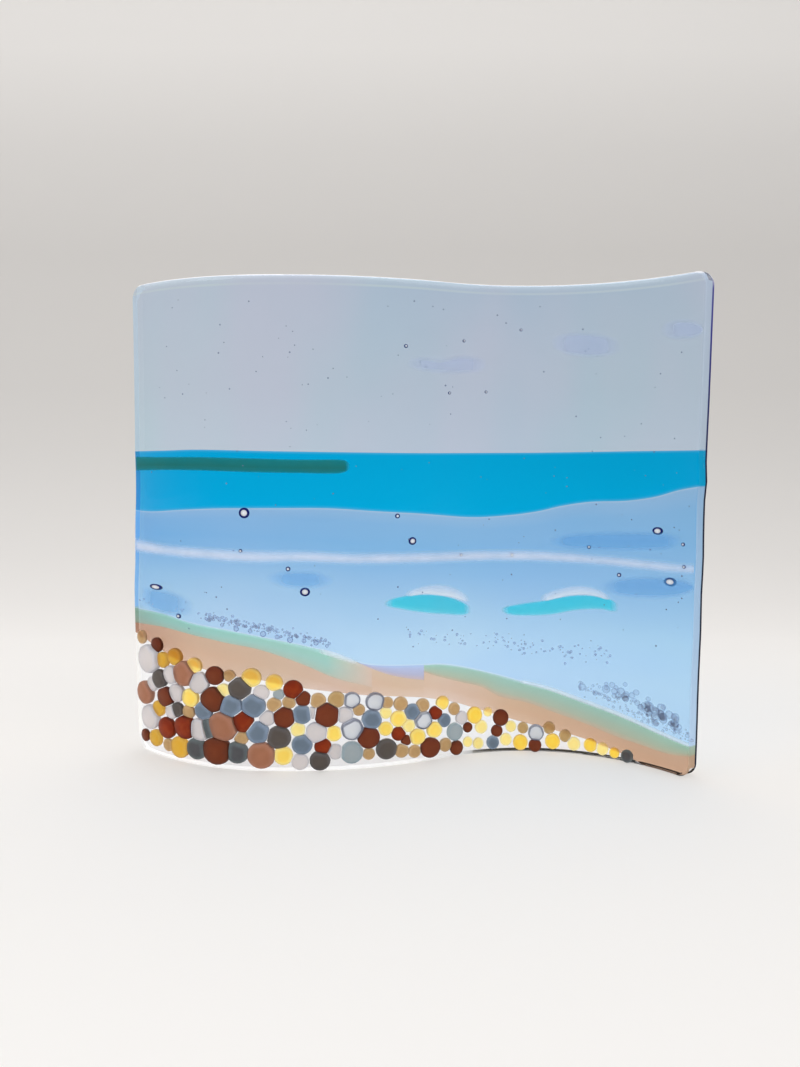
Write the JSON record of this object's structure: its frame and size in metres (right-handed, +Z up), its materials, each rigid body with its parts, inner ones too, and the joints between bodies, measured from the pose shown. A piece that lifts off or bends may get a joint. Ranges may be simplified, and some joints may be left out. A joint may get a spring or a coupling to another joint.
{
  "type": "fused glass panel sculpture",
  "caption": "Free-standing wave-shaped fused glass panel with coloured sheets of sky, sea and shore and raised glass pebbles along its foot.",
  "frame": {"origin": "on the resting edge, in the middle of the back sheet's thickness, midway between the panel's two side ends", "axes": "+X to the viewer's right along the panel's width, +Y from the pebbled front towards the back, +Z up"},
  "size_m": [0.2479, 0.0468, 0.208],
  "materials": {
    "clear_glass": "clear, fire polished",
    "sky_glass": "transparent grey-blue, fire polished",
    "cyan_glass": "transparent strong cyan, fire polished",
    "green_glass": "dark sea green, fire polished",
    "sea_glass": "transparent light blue, fire polished",
    "sage_glass": "soft sage green over aqua, fire polished",
    "lilac_glass": "faint lilac, fire polished",
    "sand_glass": "soft sand, fire polished",
    "white_glass": "semi-opaque white powder, fused smooth",
    "deep_blue_glass": "transparent mid blue, soft edged",
    "turquoise_glass": "turquoise, fused smooth",
    "froth_glass": "grey-blue grains, fused",
    "pebble_white_glass": "opal white, glossy",
    "pebble_ringed_glass": "clear-rimmed opal white, glossy",
    "pebble_aqua_glass": "milky aqua grey, glossy",
    "pebble_amber_glass": "transparent amber, glossy",
    "pebble_yellow_glass": "transparent yellow, glossy",
    "pebble_lemon_glass": "pale lemon, glossy",
    "pebble_tan_glass": "milky tan, glossy",
    "pebble_olive_glass": "olive tan, glossy",
    "pebble_brown_glass": "opal brown, glossy",
    "pebble_rust_glass": "opal rust, glossy",
    "pebble_dark_brown_glass": "dark red-brown, glossy",
    "pebble_pink_glass": "opal pink-brown, glossy",
    "pebble_charcoal_glass": "opal charcoal, glossy",
    "pebble_slate_glass": "opal slate blue, glossy",
    "pebble_dark_slate_glass": "dark slate, glossy"
  },
  "bodies": {
    "root": {"back_sheet": "clear_glass", "sky_sheet": "sky_glass", "horizon_strip": "cyan_glass", "sea_sheet": "sea_glass", "shallows_left": "sage_glass", "shallows_right": "sage_glass", "wash_patch": "lilac_glass", "sand_strip": "sand_glass", "clear_foreshore": "clear_glass", "headland": "green_glass", "foam_line": "white_glass", "deep_water_left": "deep_blue_glass", "deep_water_middle": "deep_blue_glass", "deep_water_upper_right": "deep_blue_glass", "deep_water_lower_right": "deep_blue_glass", "wave_left": "turquoise_glass", "wave_right": "turquoise_glass", "crest_left": "white_glass", "crest_right": "white_glass", "surf_left": "white_glass", "surf_right": "white_glass", "cloud_left": "lilac_glass", "cloud_middle": "lilac_glass", "cloud_right": "lilac_glass", "froth_left": "froth_glass", "froth_right": "froth_glass", "pebbles_white": "pebble_white_glass", "pebbles_ringed": "pebble_ringed_glass", "pebbles_aqua": "pebble_aqua_glass", "pebbles_amber": "pebble_amber_glass", "pebbles_yellow": "pebble_yellow_glass", "pebbles_lemon": "pebble_lemon_glass", "pebbles_tan": "pebble_tan_glass", "pebbles_olive": "pebble_olive_glass", "pebbles_brown": "pebble_brown_glass", "pebbles_rust": "pebble_rust_glass", "pebbles_dark_brown": "pebble_dark_brown_glass", "pebbles_pink": "pebble_pink_glass", "pebbles_charcoal": "pebble_charcoal_glass", "pebbles_slate": "pebble_slate_glass", "pebbles_dark_slate": "pebble_dark_slate_glass"}
  },
  "joints": []
}
